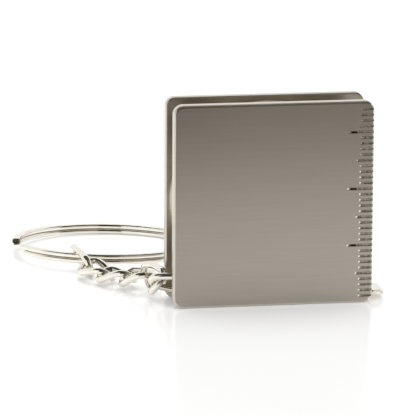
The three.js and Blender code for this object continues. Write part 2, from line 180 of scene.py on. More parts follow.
# %% [markdown]
# ## Satin nickel plate
#
# The plates are zinc castings, brushed from side to side and then plated with satin
# nickel. Brushing leaves fine scratches that all run one way, which blur what the
# metal reflects. The grain is a noise stretched along X, about 0.12 mm wide and 14 mm
# long, that moves the roughness and a very shallow relief. Coarser streaks, 0.35 mm
# wide and 12 mm long, vary the colour a little. The rims and the inner faces get a
# lighter copy with the same grain, which paints on the light they catch.

# %% Material: satin nickel
def satin_nickel(name, colours):
    """Brushed and plated metal."""
    grain = {"size": (14.0, 0.6, 0.12), "detail": 3.0, "roughness": (0.29, 0.33), "relief": 0.0005}
    streaks = {"size": (12.0, 12.0, 0.35), "colours": colours}
    return make_material(name, [grain, streaks], METAL)


SATIN_NICKEL = satin_nickel("satin_nickel", ("#b1a99f", "#b6aea4"))
# A lighter copy of the satin nickel with the same grain: painted light on the rims and inner faces.
RIM_NICKEL = satin_nickel("unbrushed_nickel", ("#cdc6ba", "#d2cbc0"))
print("made", SATIN_NICKEL.name, RIM_NICKEL.name)

# %% [markdown]
# ## Bright nickel
#
# The chain, the split ring and the hook are tumbled and plated with bright nickel. It
# is close to a mirror, warmer than chrome, and shows the white table and the dark room
# at once. Tumbling leaves a soft unevenness of about a millimetre. The sheet of the
# hook is a shade darker than the wire of the chain and ring.

# %% Material: bright nickel on wire and sheet
def bright_nickel(name, colours):
    """Tumbled and plated metal."""
    dents = {"size": (0.9, 0.9, 0.9), "detail": 1.0, "relief": 0.004}
    haze = {"size": (3.0, 3.0, 3.0), "colours": colours, "roughness": (0.08, 0.16)}
    return make_material(name, [dents, haze], METAL)


BRIGHT_WIRE = bright_nickel("bright_nickel_wire", ("#e8e4d8", "#f0ece3"))
BRIGHT_SHEET = bright_nickel("bright_nickel_sheet", ("#e6e2d8", "#eeebe3"))
print("made", BRIGHT_WIRE.name, BRIGHT_SHEET.name)

# %% [markdown]
# ## Steel sheet and strip
#
# The tape case is drawn from thin steel and zinc plated, so it is greyer and softer
# than nickel. The drawing leaves faint lines round the drum, 0.15 mm apart. The power
# spring is a hardened strip. Tempering leaves a thin blue-grey oxide, darker in bands
# along the strip.

# %% Materials: plated case steel and tempered spring steel
drawn_lines = {"size": (6.0, 0.15, 6.0), "colours": ("#b3a68f", "#c0b49f"),
               "roughness": (0.26, 0.36), "relief": 0.001}
CASE_STEEL = make_material("plated_case_steel", [drawn_lines], METAL)
oxide_bands = {"size": (2.0, 8.0, 2.0), "colours": ("#4d545c", "#6d7072"),
               "roughness": (0.30, 0.42)}
SPRING_STEEL = make_material("tempered_spring_steel", [oxide_bands], METAL)
print("made", CASE_STEEL.name, SPRING_STEEL.name)

# %% [markdown]
# ## Turned steel
#
# Pins, rivets and the arbor are turned on a lathe. The tool leaves rings across their
# length, here 0.2 mm apart along Y, the direction in which the pins lie. Their relief
# is a sine along Y, which repeats after two pi of its size.

# %% Material: turned steel
TOOL_RING_SPACING = 0.2
stains = {"size": (1.5, 1.5, 1.5), "colours": ("#a3a19b", "#b4b2ad"), "roughness": (0.22, 0.32)}
tool_rings = {"rings": True, "size": (1.0, TOOL_RING_SPACING / (2 * math.pi), 1.0),
              "relief": 0.001}
TURNED_STEEL = make_material("turned_steel", [stains, tool_rings], METAL)
print("made", TURNED_STEEL.name)

# %% [markdown]
# ## Enamelled tape
#
# The tape is a thin steel strip with a baked yellow enamel and black printed lines. A
# line shows where the place along X, wrapped at the lines' spacing, is less than the
# line's width. A short line stands at each millimetre, and reaches in from the front
# edge only. Every tenth line runs the full width.

# %% Material: yellow enamelled tape
SHORT_LINES = {"spacing": 1.0, "width": 0.16, "reach": 4.4}
LONG_LINES = {"spacing": 10.0, "width": 0.2, "reach": 8.0}
TAPE_INK = "#1b1a18"


def print_tape_lines(material):
    """Lays the printed lines over a material's colour."""
    tree = material.node_tree
    shader = tree.nodes["Principled BSDF"]
    split = add_node(tree, "ShaderNodeSeparateXYZ", None,
                     {0: tree.nodes["millimetres"].outputs[0]})
    ink = 0.0
    for line in (SHORT_LINES, LONG_LINES):
        wrapped = add_node(tree, "ShaderNodeMath", {"operation": "WRAP"},
                           {0: split.outputs["X"], 1: line["spacing"], 2: 0.0})
        on_line = add_node(tree, "ShaderNodeMath", {"operation": "LESS_THAN"},
                           {0: wrapped.outputs[0], 1: line["width"]})
        near_edge = add_node(tree, "ShaderNodeMath", {"operation": "LESS_THAN"},
                             {0: split.outputs["Y"], 1: line["reach"]})
        printed = add_node(tree, "ShaderNodeMath", {"operation": "MULTIPLY"},
                           {0: on_line.outputs[0], 1: near_edge.outputs[0]})
        ink = add_node(tree, "ShaderNodeMath", {"operation": "MAXIMUM"},
                       {0: ink, 1: printed.outputs[0]}).outputs[0]
    enamel = shader.inputs["Base Color"].links[0].from_socket
    colour = add_node(tree, "ShaderNodeMix", {"data_type": "RGBA"},
                      {"Factor": ink, 6: enamel, 7: linear(TAPE_INK)})
    tree.links.new(colour.outputs[2], shader.inputs["Base Color"])


mottle = {"size": (4.0, 4.0, 4.0), "colours": ("#e4c131", "#ecca45"), "roughness": (0.28, 0.36)}
ENAMELLED_TAPE = make_material("yellow_enamelled_tape", [mottle], {})
print_tape_lines(ENAMELLED_TAPE)
print("made", ENAMELLED_TAPE.name)

# %% [markdown]
# ## Plastics and foam
#
# The spool is moulded acetal, a milky plastic with a dull skin. The washers are cut
# from polyester film. The pads that bond the case to the plates are dark foam tape,
# which is full of small cells about a third of a millimetre across.

# %% Materials: acetal, film and foam
skin = {"size": (0.5, 0.5, 0.5), "detail": 3.0, "colours": ("#e4e1d6", "#edeae1"),
        "roughness": (0.48, 0.6), "relief": 0.004}
ACETAL = make_material("moulded_acetal", [skin], {})
haze = {"size": (5.0, 5.0, 5.0), "colours": ("#c8cdd1", "#d6dadd"), "roughness": (0.3, 0.42)}
FILM = make_material("polyester_film", [haze], {})
foam_cells = {"cells": True, "size": (0.33, 0.33, 0.33), "colours": ("#2b2b2d", "#444446"),
              "relief": 0.05}
FOAM = make_material("foam_tape", [foam_cells], {"Roughness": 0.9})
print("made", ACETAL.name, FILM.name, FOAM.name)

# %% [markdown]
# ## Inside the engraving
#
# Only the inner ends of the long marks keep their dark paint. It is matt and slightly
# uneven. In the rest of the marks the cutter left a rougher, duller metal, with dark
# specks of paint about half a millimetre apart along the mark.

# %% Materials: engraving paint and engraved metal
wear = {"size": (0.3, 0.3, 0.3), "colours": ("#1c130f", "#32251f"), "roughness": (0.5, 0.7)}
ENGRAVING_PAINT = make_material("engraving_paint", [wear], {})
specks = {"size": (0.45, 3.0, 0.6), "detail": 1.0, "colours": ("#8d867b", "#c9c3b8"),
          "roughness": (0.5, 0.35)}
ENGRAVED_METAL = make_material("engraved_metal", [specks], METAL)
print("made", ENGRAVING_PAINT.name, ENGRAVED_METAL.name)

# %% [markdown]
# ## Building tools
#
# Most pieces are lofts: a row of like outlines joined by quads, with a flat face at each
# end or closed on itself. All faces are smooth, edges sharper than 35 degrees are marked
# sharp, and a weighted normal keeps the large faces flat.

# %% Meshes and lofts
SHARP_ANGLE = math.radians(35)


def add_modifier(piece, name, kind, **settings):
    """Adds a modifier with its settings."""
    modifier = piece.modifiers.new(name, kind)
    for setting, value in settings.items():
        setattr(modifier, setting, value)


def shade(piece, weighted=True):
    """Smooth shading that keeps corners sharp and flat faces flat."""
    for polygon in piece.data.polygons:
        polygon.use_smooth = True
    piece.data.set_sharp_from_angle(angle=SHARP_ANGLE)
    if weighted:
        add_modifier(piece, "flat_faces", "WEIGHTED_NORMAL", keep_sharp=True)
    return piece


def give_materials(piece, materials):
    """Puts a list of materials in an object's slots."""
    piece.data.materials.clear()
    for material in materials:
        piece.data.materials.append(material)


def new_piece(name, points, faces, material):
    """A mesh object from points in millimetres."""
    mesh = bpy.data.meshes.new(name)
    mesh.from_pydata([tuple(value * MM for value in point) for point in points], [], faces)
    mesh.validate()
    tidy = bmesh.new()
    tidy.from_mesh(mesh)
    bmesh.ops.recalc_face_normals(tidy, faces=tidy.faces)
    tidy.to_mesh(mesh)
    tidy.free()
    piece = add_object(name, mesh)
    give_materials(piece, [material])
    return piece


def loft(name, rows, material, closed=False):
    """Joins a list of outlines of the same length, with end faces unless closed."""
    count = len(rows[0])
    points = [point for row in rows for point in row]
    faces = []
    for row in range(len(rows) if closed else len(rows) - 1):
        low, high = row * count, (row + 1) % len(rows) * count
        for i in range(count):
            after = (i + 1) % count
            faces.append((low + i, low + after, high + after, high + i))
    if not closed:
        faces.append(tuple(range(count)))
        faces.append(tuple(range(len(points) - count, len(points)))[::-1])
    return new_piece(name, points, faces, material)


print("edges over", round(math.degrees(SHARP_ANGLE)), "degrees stay sharp")

# %% [markdown]
# A rounded edge is a quarter of a circle seen from the side: at each step the outline
# lies a little deeper and is drawn in a little less.

# %% Outlines
def arc(centre_x, centre_z, radius, start, end, steps):
    """Points on an arc in X and Z, by degrees."""
    angles = [math.radians(start + (end - start) * i / steps) for i in range(steps + 1)]
    return [(centre_x + radius * math.cos(a), centre_z + radius * math.sin(a)) for a in angles]


def circle(centre_x, centre_z, radius, sides):
    """The corners of a round outline."""
    return arc(centre_x, centre_z, radius, 0, 360 - 360 / sides, sides - 1)


def rounded_rectangle(right, top, radius, steps):
    """Four quarter arcs about centres that lie this far right and left, up and down."""
    points = []
    for start, x, z in ((0, right, top), (90, -right, top),
                        (180, -right, -top), (270, right, -top)):
        points += arc(x, z, radius, start, start + 90, steps)
    return points


def edge_steps(steps):
    """Depth and inset at each step of a rounded edge, as shares of its radius."""
    turns = [step / steps * math.pi / 2 for step in range(steps + 1)]
    return [(1 - math.cos(turn), 1 - math.sin(turn)) for turn in turns]


print("a rounded edge of 8 steps has", len(edge_steps(8)), "outlines")

# %% [markdown]
# Holes and marks are cut with solids that reach half a millimetre past the surface, so
# that no two faces coincide. Each finished piece is attached to the body it rides on,
# and the CAD node it stands for is hidden.

# %% Cuts and the last step of a piece
CUT_OVERRUN = 0.5
NEARLY = 0.01


def join_pieces(pieces):
    """One object from several, so that one cut does them all."""
    whole = bmesh.new()
    for piece in pieces:
        whole.from_mesh(piece.data)
    mesh = bpy.data.meshes.new("cutters")
    whole.to_mesh(mesh)
    whole.free()
    for piece in pieces:
        bpy.data.objects.remove(piece)
    return add_object("cutters", mesh)


def cut_away(piece, cutter):
    """Cuts a cutter out of a piece for good and removes the cutter."""
    add_modifier(piece, "cut", "BOOLEAN", operation="DIFFERENCE", solver="EXACT", object=cutter)
    graph = bpy.context.evaluated_depsgraph_get()
    mesh = bpy.data.meshes.new_from_object(piece.evaluated_get(graph))
    piece.modifiers.clear()
    old = piece.data
    piece.data = mesh
    bpy.data.meshes.remove(old)
    bpy.data.objects.remove(cutter)


def finish_piece(piece, body, replaced):
    """Attaches a piece to the body it rides on and hides the node it stands for."""
    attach(piece, body)
    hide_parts(replaced)
    print("piece", piece.name, "faces", len(piece.data.polygons))


print("cutters reach", CUT_OVERRUN, "mm past a surface")

# %% [markdown]
# ## The plates
#
# Each plate is 35.2 mm wide, 35.7 mm high and 2 mm thick, with corners of 1.7 mm. The
# plates stand 6.4 mm apart, held by three pins whose ends sit in blind sockets.

# %% Plate and pin sizes
PLATE_WIDTH = 35.2
PLATE_HEIGHT = 35.7
PLATE_THICKNESS = 2.0
PLATE_CORNER = 1.7
OUTER_ROUND = 0.5
INNER_ROUND = 0.3
PLATE_GAP = 6.4
BACK_PLATE_FRONT = PLATE_THICKNESS + PLATE_GAP
MIDDLE_DEPTH = PLATE_THICKNESS + PLATE_GAP / 2
DEPTH = BACK_PLATE_FRONT + PLATE_THICKNESS
TABLE = -PLATE_HEIGHT / 2
POST_RADIUS = 0.5
POST_SIDE_INSET = 2.7
POST_HEIGHT = 3.3
PILLAR_RADIUS = 1.2
PILLAR_INSET = 2.9
PILLAR_SIDE = PLATE_WIDTH / 2 - PILLAR_INSET
PILLAR_TOP = PLATE_HEIGHT / 2 - PILLAR_INSET
PINS = {"left_pillar": (-PILLAR_SIDE, PILLAR_TOP, PILLAR_RADIUS),
        "right_pillar": (PILLAR_SIDE, PILLAR_TOP, PILLAR_RADIUS),
        "chain_post": (-PLATE_WIDTH / 2 + POST_SIDE_INSET, TABLE + POST_HEIGHT, POST_RADIUS)}
SOCKET_DEPTH = 1.2
SOCKET_CLEARANCE = 0.08
print("plates are", PLATE_WIDTH, "by", PLATE_HEIGHT, "and", DEPTH, "mm deep together")

# %% [markdown]
# The outer edge is rounded by 0.5 mm and the inner one by 0.3 mm. These rounds catch
# the bright lines along the top and the left in the photograph, so they are real
# geometry with eight steps each.

# %% The plate blank and its sockets
PLATE_CORNER_STEPS = 12
PLATE_EDGE_STEPS = 8
SOCKET_SIDES = 24


def plate_outline(depth, inset):
    """The plate's outline at a depth, drawn in by an inset."""
    corners = rounded_rectangle(PLATE_WIDTH / 2 - PLATE_CORNER, PLATE_HEIGHT / 2 - PLATE_CORNER,
                                PLATE_CORNER - inset, PLATE_CORNER_STEPS)
    return [(x, depth, z) for x, z in corners]


def plate_rows(outer_at, inward):
    """Outlines from the outer face to the inner face; inward is +1 or -1 along Y."""
    outer, inner = [], []
    for deep, drawn_in in edge_steps(PLATE_EDGE_STEPS):
        outer.append(plate_outline(outer_at + inward * OUTER_ROUND * deep, OUTER_ROUND * drawn_in))
        inner.append(plate_outline(outer_at + inward * (PLATE_THICKNESS - INNER_ROUND * deep),
                                   INNER_ROUND * drawn_in))
    return outer + inner[::-1]


def socket_cutters(inner_at, inward):
    """Short cylinders where the pins enter a plate's inner face."""
    cutters = []
    for _, (x, z, radius) in sorted(PINS.items()):
        rim = circle(x, z, radius + SOCKET_CLEARANCE, SOCKET_SIDES)
        rows = [[(px, inner_at - inward * depth, pz) for px, pz in rim]
                for depth in (SOCKET_DEPTH, -CUT_OVERRUN)]
        cutters.append(loft("socket", rows, SATIN_NICKEL))
    return cutters


print("a plate has", len(plate_rows(0.0, 1)), "outlines")

# %% [markdown]
# ## The engraved rule
#
# The rule runs up the right edge: 34 marks, 1 mm apart, with longer marks at each fifth
# and tenth. A real engraving cutter leaves sloping walls, and the slopes give each mark
# its dark upper side, its light lower side and the glint at its left end. So each mark
# is cut with a tapered bar instead of a box.

# %% Cut the front plate
RULE_DIVISION = 1.0
RULE_ZERO = 0.26
MARK_COUNT = 34
MARK_LENGTHS = {10: 4.7, 5: 3.2, 1: 2.6}
MARK_DEPTH = 0.25
MARK_MOUTH = 0.44
MARK_FLOOR = 0.16
MARK_END_SLOPE = 0.36


def mark_height(number):
    """The height of a mark's middle, by its number from the bottom."""
    return TABLE + RULE_ZERO + number * RULE_DIVISION


def mark_cutter(number):
    """A bar with sloping sides and end, wider in front than at its floor."""
    height = mark_height(number)
    length = next(size for step, size in MARK_LENGTHS.items() if number % step == 0)
    far = PLATE_WIDTH / 2 + CUT_OVERRUN
    taper = (MARK_MOUTH - MARK_FLOOR) / 2 / MARK_DEPTH
    rows = []
    for depth in (-CUT_OVERRUN, MARK_DEPTH):
        half = MARK_FLOOR / 2 + taper * (MARK_DEPTH - depth)
        start = PLATE_WIDTH / 2 - length + MARK_END_SLOPE * depth / MARK_DEPTH
        rows.append([(start, depth, height - half), (far, depth, height - half),
                     (far, depth, height + half), (start, depth, height + half)])
    return loft("mark", rows, SATIN_NICKEL)


front_plate = loft("front_plate_dressed", plate_rows(0.0, 1), SATIN_NICKEL)
mark_cutters = [mark_cutter(number) for number in range(1, MARK_COUNT + 1)]
cut_away(front_plate, join_pieces(socket_cutters(PLATE_THICKNESS, 1) + mark_cutters))
print("front plate cut, faces:", len(front_plate.data.polygons))

# %% [markdown]
# The dark paint shows on the floor and the lower wall of each long mark, in its left
# part only, so the mesh is cut across at both ends of the paint first. The cutter's
# nose leaves the left end of every mark bright. The rims and the inner faces of both
# plates get the lighter copy of the plating, painted light for the light they catch.

# %% Dress the front plate
FRONT_MATERIALS = [SATIN_NICKEL, ENGRAVING_PAINT, BRIGHT_SHEET, ENGRAVED_METAL, RIM_NICKEL]
SATIN_SLOT, PAINT_SLOT, BRIGHT_SLOT, ENGRAVED_SLOT = range(4)
PAINT_FROM = 4.1
PAINT_TO = 3.0
WELD_DISTANCE = 1e-7
END_WALL_FACING = 0.3
FLAT_FACING = 0.9


def in_long_mark(point):
    """Whether a point in millimetres is on the floor or lower wall of a long mark."""
    x, y, z = point
    number = round((z - TABLE - RULE_ZERO) / RULE_DIVISION)
    return (number % 10 == 0 and number > 0 and NEARLY < y < MARK_DEPTH + NEARLY
            and -MARK_MOUTH / 2 < z - mark_height(number) < MARK_FLOOR / 2
            and x > PLATE_WIDTH / 2 - MARK_LENGTHS[10])


def paint_long_marks(plate):
    """Gives the inner part of each long mark's floor and lower wall the paint."""
    work = bmesh.new()
    work.from_mesh(plate.data)
    for reach in (PAINT_FROM, PAINT_TO):
        strip = [face for face in work.faces if in_long_mark(face.calc_center_median() / MM)]
        parts = [part for face in strip for part in [*face.verts, *face.edges, face]]
        bmesh.ops.bisect_plane(work, geom=list(dict.fromkeys(parts)), dist=WELD_DISTANCE,
                               plane_co=((PLATE_WIDTH / 2 - reach) * MM, 0, 0),
                               plane_no=(1, 0, 0))
    for face in work.faces:
        centre = face.calc_center_median() / MM
        if in_long_mark(centre) and -PAINT_FROM < centre.x - PLATE_WIDTH / 2 < -PAINT_TO:
            face.material_index = PAINT_SLOT
    work.to_mesh(plate.data)
    work.free()


def dress_marks(plate):
    """Gives the unpainted faces of each mark their own metal, bright at the left end."""
    for face in plate.data.polygons:
        x, y, z = face.center / MM
        inside = (NEARLY < y < MARK_DEPTH + NEARLY and abs(z) < PLATE_HEIGHT / 2 - OUTER_ROUND
                  and PLATE_WIDTH / 2 - MARK_LENGTHS[10] < x < PLATE_WIDTH / 2 - OUTER_ROUND)
        if inside and face.material_index != PAINT_SLOT:
            at_end = face.normal.x > END_WALL_FACING
            face.material_index = BRIGHT_SLOT if at_end else ENGRAVED_SLOT


def dress_rims(plate, outward):
    """Gives all but the brushed outer face the last material, a lighter copy that is painted light.
    """
    for face in plate.data.polygons:
        # The lighter copy paints on the light of the rims and the inner faces.
        if face.material_index == SATIN_SLOT and face.normal.y * outward < FLAT_FACING:
            face.material_index = len(plate.data.materials) - 1


give_materials(front_plate, FRONT_MATERIALS)
paint_long_marks(front_plate)
dress_marks(front_plate)
dress_rims(front_plate, -1)
shade(front_plate)
finish_piece(front_plate, "case", "front_plate")

# %% [markdown]
# The back plate is the same blank turned round, with sockets and without marks.

# %% The back plate
back_plate = loft("back_plate_dressed", plate_rows(DEPTH, -1), SATIN_NICKEL)
cut_away(back_plate, join_pieces(socket_cutters(BACK_PLATE_FRONT, -1)))
give_materials(back_plate, [SATIN_NICKEL, RIM_NICKEL])
dress_rims(back_plate, 1)
shade(back_plate)
finish_piece(back_plate, "case", "back_plate")

# %% [markdown]
# ## Pins between the plates
#
# Two pillars at the top corners and a thinner post at the lower left hold the plates
# apart. Their ends are chamfered so that they find their sockets. A turned piece is a
# row of circles whose radius changes along Y.

# %% Turn the pins
PIN_END_CLEARANCE = 0.08
PIN_CHAMFER = 0.15
PIN_SIDES = 40


def turned_rows(x, z, stations):
    """Circles about a line along Y, from pairs of depth and radius."""
    return [[(px, depth, pz) for px, pz in circle(x, z, radius, PIN_SIDES)]
            for depth, radius in stations]


for name, (x, z, radius) in PINS.items():
    near = PLATE_THICKNESS - SOCKET_DEPTH + PIN_END_CLEARANCE
    far = BACK_PLATE_FRONT + SOCKET_DEPTH - PIN_END_CLEARANCE
    rows = turned_rows(x, z, [(near, radius - PIN_CHAMFER), (near + PIN_CHAMFER, radius),
                              (far - PIN_CHAMFER, radius), (far, radius - PIN_CHAMFER)])
    pin = shade(loft(name + "_turned", rows, TURNED_STEEL))
    finish_piece(pin, "case", name)

# %% [markdown]
# ## The tape case
#
# The case is a drawn drum with a flat-bottomed nose at the lower right, closed in front
# by a cover. Only a sliver of it shows past the plates, but it fills every side view.
# Both pieces follow one outline, drawn in for each rounded edge. The body is hollow, so
# an inner form, the tape's mouth and a hole for the arbor's stud are cut out of it.

# %% Case sizes and outline
CASE_RADIUS = 17.1
CASE_WALL = 0.3
CASE_DISC = 0.35
CASE_ROUND = 0.25
CASE_ARC_STEPS = 96
CASE_EDGE_STEPS = 5
BODY_SEAM_ROUND = 0.06
COVER_SEAM_ROUND = 0.04
HOLLOW_ROUND = 0.1
NOSE_HEIGHT = 3.7
MOUTH_WIDTH = 5.0
MOUTH_HEIGHT = 1.2
MOUTH_CUT = 1.0
PAD_THICKNESS = 0.25
CASE_FRONT = PLATE_THICKNESS + PAD_THICKNESS
CASE_BACK = BACK_PLATE_FRONT - PAD_THICKNESS
SEAM = CASE_FRONT + CASE_DISC
STUD_RADIUS = 1.25


def case_outline(depth, inset):
    """A drum with a square nose at the lower right, drawn in by an inset."""
    radius = CASE_RADIUS - inset
    nose_top = NOSE_HEIGHT - CASE_RADIUS - inset
    start = math.degrees(math.asin(nose_top / radius))
    drum = arc(0, 0, radius, start, 270, CASE_ARC_STEPS)
    return [(x, depth, z) for x, z in [(radius, -radius), (radius, nose_top)] + drum]


def rounded_case(name, near, far, near_round, far_round, inset):
    """A solid of the case's outline with a rounded edge at each end."""
    steps = edge_steps(CASE_EDGE_STEPS)
    rows = [case_outline(near + near_round * deep, inset + near_round * drawn_in)
            for deep, drawn_in in steps]
    rows += [case_outline(far - far_round * deep, inset + far_round * drawn_in)
             for deep, drawn_in in steps[::-1]]
    return loft(name, rows, CASE_STEEL)


print("the case is", CASE_BACK - CASE_FRONT, "mm deep")

# %% Build the case body and its cover
def stud_cutter(near, far):
    """A cylinder for the hole of the arbor's stud."""
    return loft("stud", turned_rows(0, 0, [(near, STUD_RADIUS), (far, STUD_RADIUS)]), CASE_STEEL)


def mouth_cutter():
    """A box through the nose's right wall, on the floor of the case."""
    floor = CASE_WALL - CASE_RADIUS
    near, far = MIDDLE_DEPTH - MOUTH_WIDTH / 2, MIDDLE_DEPTH + MOUTH_WIDTH / 2
    rows = [[(x, near, floor), (x, far, floor), (x, far, floor + MOUTH_HEIGHT),
             (x, near, floor + MOUTH_HEIGHT)]
            for x in (CASE_RADIUS - MOUTH_CUT, CASE_RADIUS + MOUTH_CUT)]
    return loft("mouth", rows, CASE_STEEL)


case_body = rounded_case("case_body_drawn", SEAM, CASE_BACK, BODY_SEAM_ROUND, CASE_ROUND, 0.0)
cut_away(case_body, rounded_case("hollow", SEAM - CUT_OVERRUN, CASE_BACK - CASE_DISC,
                                 NEARLY, HOLLOW_ROUND, CASE_WALL))
cut_away(case_body, mouth_cutter())
cut_away(case_body, stud_cutter(SEAM, CASE_BACK + CUT_OVERRUN))
shade(case_body)
finish_piece(case_body, "case", "case_body")

case_cover = rounded_case("case_cover_pressed", CASE_FRONT, SEAM, CASE_ROUND,
                          COVER_SEAM_ROUND, 0.0)
cut_away(case_cover, stud_cutter(CASE_FRONT - CUT_OVERRUN, SEAM + CUT_OVERRUN))
shade(case_cover)
finish_piece(case_cover, "case", "case_cover")

# %% [markdown]
# ## Inside the case
#
# The arbor, the washers, the spool, the pads and the tape's free stretch keep their CAD
# shapes, which are exact, and get their finishes.

# %% Finish the carried-over pieces
CARRIED = {
    "arbor": TURNED_STEEL, "front_washer": FILM, "back_washer": FILM, "reel_spool": ACETAL,
    "tape_blade": ENAMELLED_TAPE,
    "front_adhesive_pad": FOAM, "back_adhesive_pad": FOAM,
}
for name, material in CARRIED.items():
    give_materials(nodes[name], [material])
print("finished", len(CARRIED), "carried-over nodes")

# %% [markdown]
# ## The wound tape and its spring
#
# Both are flat strips wound into a spiral, with edges rounded by rolling. The tape is
# 0.15 mm steel in seven turns on the spool. The spring is a 0.3 mm strip in seven wide
# turns from the arbor out to the spool.

# %% Wind the strips
WINDING_STEPS = 72
STRIP_EDGE_STEPS = 6
TAPE_THICKNESS = 0.15
TAPE_TURNS = {"inner": 15.25, "outer": 16.55, "turns": 7, "strip": TAPE_THICKNESS, "width": 4.5}
SPRING_TURNS = {"inner": 2.35, "outer": 14.05, "turns": 7, "strip": 0.3, "width": 3.2}


def strip_section(thickness, width):
    """A flat strip's section with rounded edges, as pairs of outward and deep sizes."""
    edge = thickness / 2
    far = width / 2 - edge
    return (arc(edge, far, edge, 0, 180, STRIP_EDGE_STEPS)
            + arc(edge, -far, edge, 180, 360, STRIP_EDGE_STEPS))


def wind_strip(name, size, material):
    """A strip wound outward at an even pitch about the reel's axis."""
    pitch = (size["outer"] - size["inner"] - size["strip"]) / size["turns"]
    section = strip_section(size["strip"], size["width"])
    rows = []
    for step in range(size["turns"] * WINDING_STEPS + 1):
        turn = step / WINDING_STEPS
        across, up = math.cos(2 * math.pi * turn), math.sin(2 * math.pi * turn)
        radius = size["inner"] + pitch * turn
        rows.append([((radius + out) * across, MIDDLE_DEPTH + deep, (radius + out) * up)
                     for out, deep in section])
    print(name, "has", round(pitch - size["strip"], 3), "mm between its turns")
    return shade(loft(name, rows, material))


tape_coil = wind_strip("tape_coil_wound", TAPE_TURNS, ENAMELLED_TAPE)
finish_piece(tape_coil, "reel", "tape_coil")
power_spring = wind_strip("power_spring_wound", SPRING_TURNS, SPRING_STEEL)
finish_piece(power_spring, "case", "power_spring")

# %% [markdown]
# ## The end hook
#
# The hook is a strip of sheet 0.3 mm thick: a narrow strap lies on the tape, widens to
# a tab with rounded corners beyond the plates, and its end turns down as a lip. It is a
# grid of points along the strip, given its thickness by a Solidify modifier.

# %% Hook sizes and path
HOOK_REACH = PLATE_WIDTH / 2 + 2.8
HOOK_SHEET = 0.3
HOOK_HALF_WIDTH = 2.9
HOOK_TAB = 2.5
HOOK_STRAP = 6.2
HOOK_STRAP_START = HOOK_REACH - HOOK_TAB - HOOK_STRAP + HOOK_SHEET
HOOK_STRAP_HALF = 2.0
HOOK_SHOULDER = 0.5
HOOK_CORNER = 1.4
HOOK_BEND = 0.45
HOOK_LIP_DROP = 1.1
HOOK_CLOSE_ROW = 0.1
HOOK_TAB_STEPS = 14
HOOK_BEND_STEPS = 10
TAPE_CLEARANCE = 0.05
BLADE_BOTTOM = -(CASE_RADIUS - CASE_WALL - TAPE_CLEARANCE)
HOOK_BOTTOM = BLADE_BOTTOM + TAPE_THICKNESS + TAPE_CLEARANCE
HOOK_TOP = HOOK_BOTTOM + HOOK_SHEET
HOOK_TAB_LEFT = HOOK_REACH - HOOK_TAB


def hook_half_width(x):
    """Half the strip's width at a distance along X."""
    if x < HOOK_TAB_LEFT:
        return HOOK_STRAP_HALF
    shoulder = min(1.0, (x - HOOK_TAB_LEFT) / HOOK_SHOULDER)
    width = HOOK_STRAP_HALF + (HOOK_HALF_WIDTH - HOOK_STRAP_HALF) * math.sin(shoulder * math.pi / 2)
    past = x - (HOOK_REACH - HOOK_CORNER)
    if past <= 0:
        return width
    drop = HOOK_CORNER - math.sqrt(max(0.0, HOOK_CORNER ** 2 - past ** 2))
    return min(width, HOOK_HALF_WIDTH - drop)


def hook_path():
    """Points of the strip's upper face from the strap's end to the lip's foot."""
    flat_end = HOOK_REACH - HOOK_BEND
    stations = [HOOK_STRAP_START, HOOK_STRAP_START + HOOK_CLOSE_ROW, HOOK_TAB_LEFT - NEARLY]
    stations += [HOOK_TAB_LEFT + (flat_end - HOOK_TAB_LEFT) * i / HOOK_TAB_STEPS
                 for i in range(HOOK_TAB_STEPS + 1)]
    path = [(x, HOOK_TOP) for x in stations]
    bend = arc(flat_end, HOOK_TOP - HOOK_BEND, HOOK_BEND, 90, 0, HOOK_BEND_STEPS)[1:]
    lip = [(HOOK_REACH, HOOK_TOP - HOOK_LIP_DROP + HOOK_CLOSE_ROW),
           (HOOK_REACH, HOOK_TOP - HOOK_LIP_DROP)]
    return path + bend + lip


print("the hook's path has", len(hook_path()), "points")

# %% [markdown]
# The sheet grows down from the upper face, whichever way the mesh faces, and a small
# bevel breaks its edges, as tumbling does.

# %% Bend the hook
HOOK_COLUMNS = 16
HOOK_EDGE = 0.06


def bend_hook():
    """The hook's grid of points, with its thickness and edges."""
    points, faces = [], []
    path = hook_path()
    for x, z in path:
        half = hook_half_width(min(x, HOOK_REACH))
        points += [(x, MIDDLE_DEPTH + half * (2 * i / HOOK_COLUMNS - 1), z)
                   for i in range(HOOK_COLUMNS + 1)]
    for row in range(len(path) - 1):
        for i in range(HOOK_COLUMNS):
            low = row * (HOOK_COLUMNS + 1) + i
            high = low + HOOK_COLUMNS + 1
            faces.append((low, low + 1, high + 1, high))
    hook = new_piece("end_hook_bent", points, faces, BRIGHT_SHEET)
    top_face = max(hook.data.polygons, key=lambda face: face.center.z)
    add_modifier(hook, "sheet", "SOLIDIFY", thickness=HOOK_SHEET * MM,
                 offset=-1.0 if top_face.normal.z > 0 else 1.0)
    add_modifier(hook, "edges", "BEVEL", width=HOOK_EDGE * MM, segments=2, limit_method="ANGLE")
    return shade(hook)


finish_piece(bend_hook(), "tape", "end_hook")

# %% [markdown]
# ## Rivets
#
# Two rivets with domed heads hold the strap on the tape. Each is a row of circles about
# an upright line: the shank, then a dome of a few steps, closed by a tiny flat tip.

# %% Head the rivets
RIVET_SETBACK = 1.1
RIVET_X = HOOK_STRAP_START + RIVET_SETBACK
RIVET_SPACING = 2.0
RIVET_RADIUS = 0.45
RIVET_HEAD_RADIUS = 0.7
RIVET_HEAD_HEIGHT = 0.2
RIVET_TIP_RADIUS = 0.02
RIVET_DOME_STEPS = 7
RIVET_SIDES = 32


